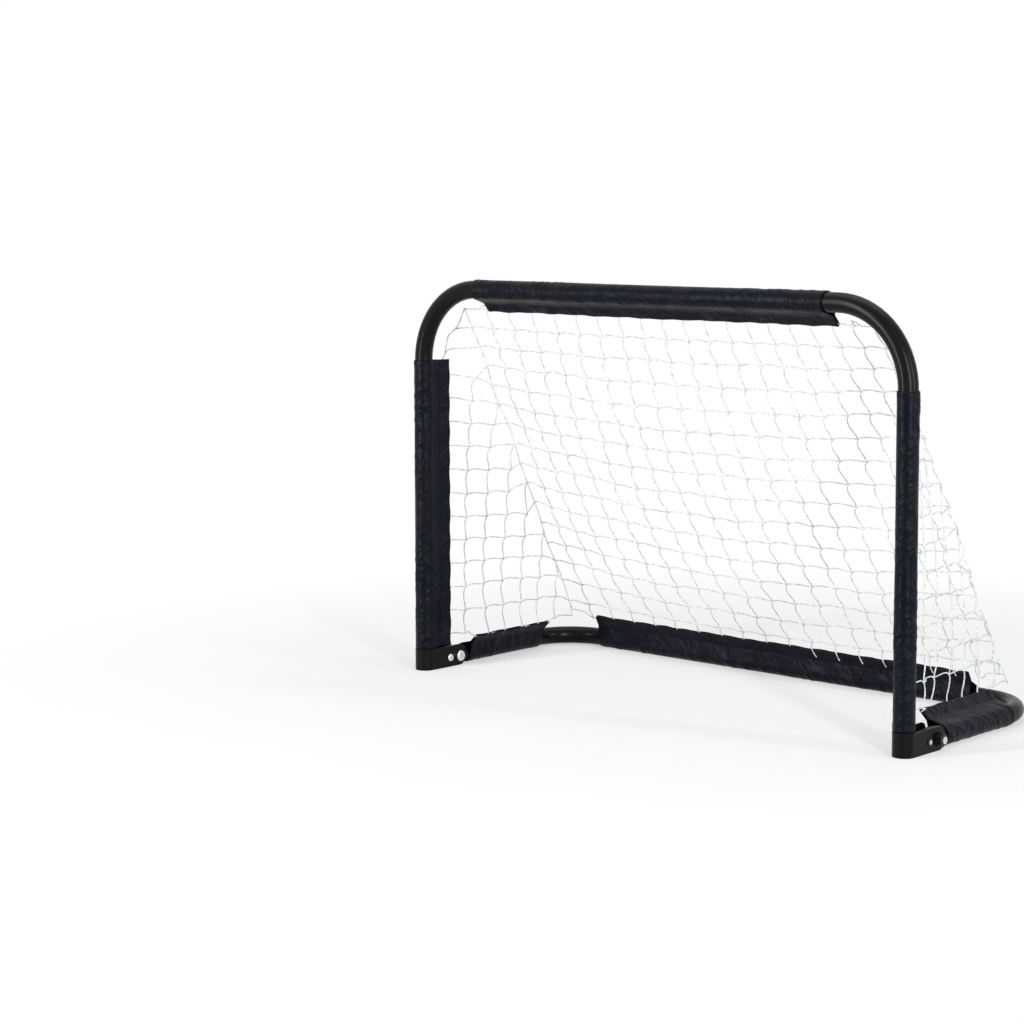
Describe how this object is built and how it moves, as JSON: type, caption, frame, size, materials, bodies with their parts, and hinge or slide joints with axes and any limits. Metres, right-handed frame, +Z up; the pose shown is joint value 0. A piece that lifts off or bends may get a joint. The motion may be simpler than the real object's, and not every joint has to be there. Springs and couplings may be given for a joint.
{
  "type": "folding street hockey goal",
  "caption": "Small folding goal of bent steel tube: a front hoop on two foot brackets hinged to a U-shaped base, with wrap-round fabric sleeves that hold a knotted net.",
  "frame": {"origin": "on the floor, under the middle of the goal's width and depth", "axes": "+X along the crossbar, +Y from the mouth back to the rear bar, +Z up"},
  "size_m": [0.9224, 0.358, 0.601],
  "materials": {
    "tube_paint": "gloss black powder coat on bent steel tube",
    "bracket_paint": "gloss black powder coat on bent steel sheet",
    "bolt_plating": "bright zinc-plated steel",
    "nut_blacking": "black-coated steel",
    "bush_steel": "turned steel",
    "spacer_nylon": "black nylon",
    "plug_plastic": "black moulded plastic",
    "sleeve_fabric": "black coated fabric with a soft sheen, wrinkled and stitched at the hems",
    "closure_strip": "black hook and loop tape",
    "net_twine": "white knotted twine"
  },
  "bodies": {
    "base": {"base_frame_tube": "tube_paint", "rear_bar_sleeve": "sleeve_fabric", "rear_bar_hook_strip": "closure_strip", "rear_bar_loop_strip": "closure_strip", "net_back": "net_twine", "net_left": "net_twine", "net_right": "net_twine", "left_arm_bush": "bush_steel", "left_arm_sleeve": "sleeve_fabric", "left_arm_hook_strip": "closure_strip", "left_arm_loop_strip": "closure_strip", "right_arm_bush": "bush_steel", "right_arm_sleeve": "sleeve_fabric", "right_arm_hook_strip": "closure_strip", "right_arm_loop_strip": "closure_strip"},
    "front": {"front_frame_tube": "tube_paint", "crossbar_sleeve": "sleeve_fabric", "crossbar_hook_strip": "closure_strip", "crossbar_loop_strip": "closure_strip", "left_foot_bracket": "bracket_paint", "left_foot_plug": "plug_plastic", "left_pivot_bolt": "bolt_plating", "left_pivot_washer": "nut_blacking", "left_pivot_nut": "nut_blacking", "left_pivot_spacers": "spacer_nylon", "left_stop_bolt": "bolt_plating", "left_stop_nut": "nut_blacking", "left_upright_sleeve": "sleeve_fabric", "left_upright_hook_strip": "closure_strip", "left_upright_loop_strip": "closure_strip", "right_foot_bracket": "bracket_paint", "right_foot_plug": "plug_plastic", "right_pivot_bolt": "bolt_plating", "right_pivot_washer": "nut_blacking", "right_pivot_nut": "nut_blacking", "right_pivot_spacers": "spacer_nylon", "right_stop_bolt": "bolt_plating", "right_stop_nut": "nut_blacking", "right_upright_sleeve": "sleeve_fabric", "right_upright_hook_strip": "closure_strip", "right_upright_loop_strip": "closure_strip"}
  },
  "joints": [
    {"name": "fold", "type": "hinge", "parent": "base", "child": "front", "pos_m": [0, -0.1035, 0.0145], "axis": [-1, 0, 0], "range_deg": [0, 90]}
  ]
}
